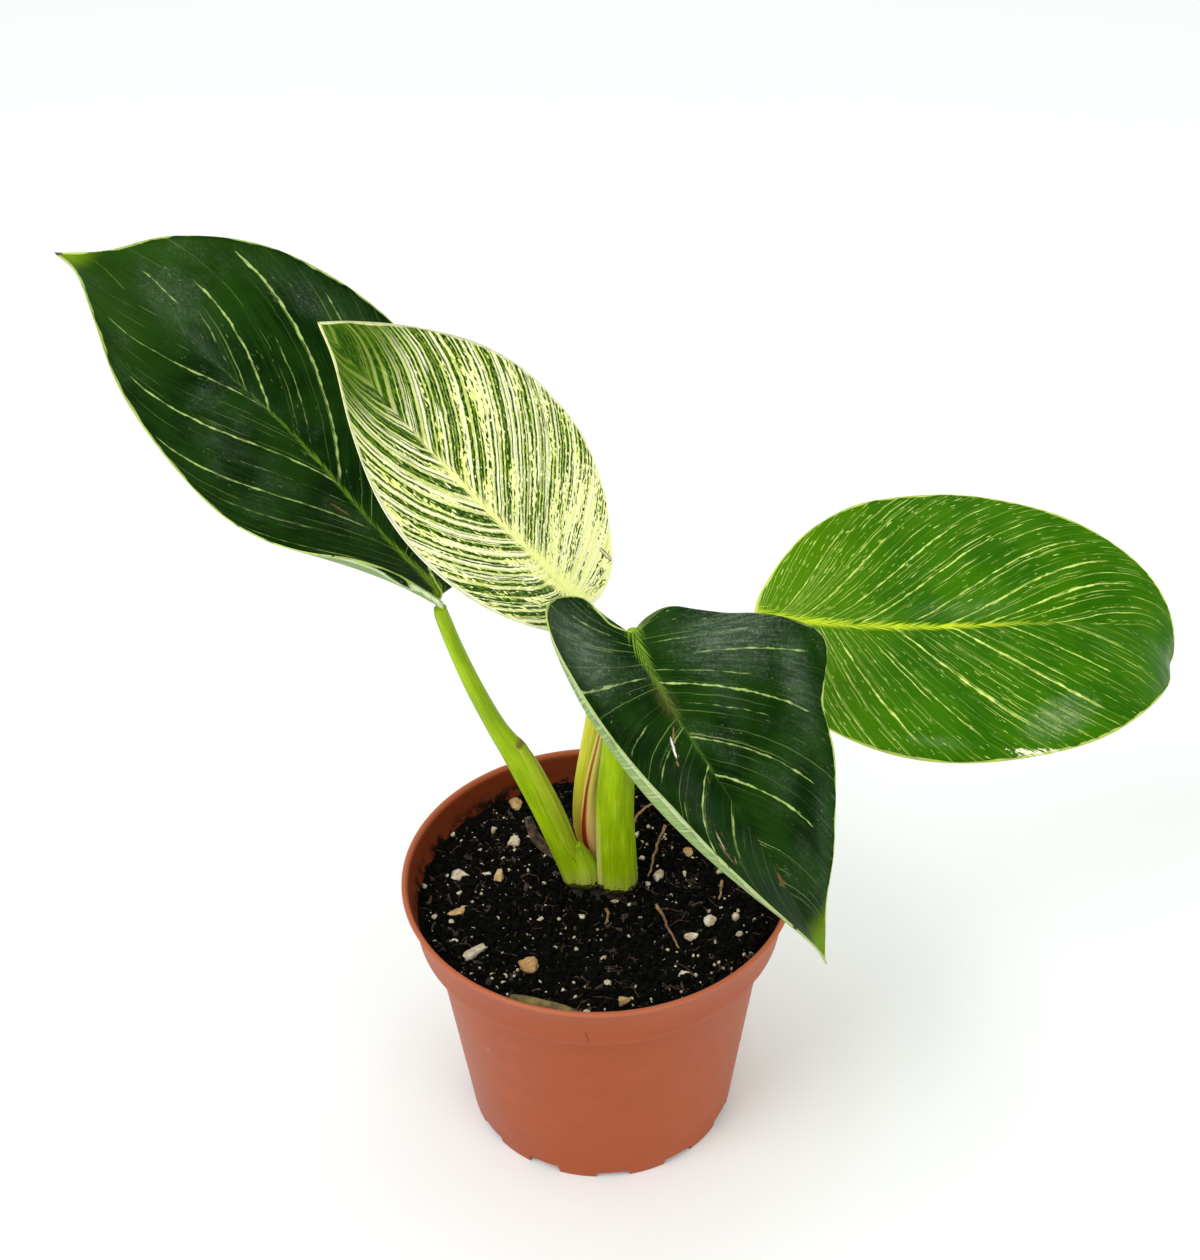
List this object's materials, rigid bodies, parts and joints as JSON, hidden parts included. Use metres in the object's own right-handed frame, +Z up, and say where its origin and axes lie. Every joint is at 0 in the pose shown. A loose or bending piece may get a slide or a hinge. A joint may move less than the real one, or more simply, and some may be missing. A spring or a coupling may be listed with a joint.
{
  "type": "potted philodendron",
  "caption": "Young philodendron with broad pointed leaves, some streaked with cream, on fleshy stalks in a small tapered plastic grower's pot.",
  "frame": {"origin": "on the ground, under the middle of the whole plant's box; the pot's axis stands 12.5 mm towards -X and 1 mm towards -Y", "axes": "+Z up; +X towards the leaf on the right, +Y away from the viewer"},
  "size_m": [0.3314, 0.174, 0.2731],
  "materials": {
    "pot_plastic": "terracotta-coloured moulded plastic, satin",
    "soil": "nearly black moist peat with fibres",
    "stem_tissue": "ragged green-brown stem tissue",
    "leaf_left": "very dark green waxy leaf with a few pale stripes",
    "leaf_variegated": "cream leaf with fine broken green streaks along the veins",
    "leaf_front": "very dark green waxy leaf with a grey sheen and sparse pale stripes",
    "leaf_right": "bright mid-green leaf with many fine pale dashes",
    "petiole_green": "bright yellow-green fleshy stalk",
    "petiole_pale": "pale yellow-green fleshy stalk",
    "sheath_pink": "cream-pink sheath with red edges",
    "sheath_dried": "dried grey-brown sheath",
    "root": "thin brown root",
    "grit": "pale porous grit",
    "bark": "tan bark chip",
    "bark_curl": "olive-brown curled bark"
  },
  "bodies": {
    "root": {"bark_01": "bark", "bark_04": "bark", "bark_05": "bark", "bark_07": "bark", "bark_11": "bark", "bark_14": "bark", "bark_curl": "bark_curl", "cut_sheath": "petiole_green", "dried_sheath": "sheath_dried", "grit_02": "grit", "grit_03": "grit", "grit_06": "grit", "grit_08": "grit", "grit_09": "grit", "grit_10": "grit", "grit_12": "grit", "grit_13": "grit", "leaf_front": "leaf_front", "leaf_left": "leaf_left", "leaf_right": "leaf_right", "leaf_variegated": "leaf_variegated", "new_leaf_sheath": "sheath_pink", "petiole_centre": "petiole_pale", "petiole_front": "petiole_green", "petiole_left": "petiole_green", "petiole_right": "petiole_green", "pot": "pot_plastic", "root_back": "root", "root_front": "root", "root_side": "root", "root_stem": "root", "root_tan": "root", "soil": "soil", "stem_base": "stem_tissue"}
  },
  "joints": []
}
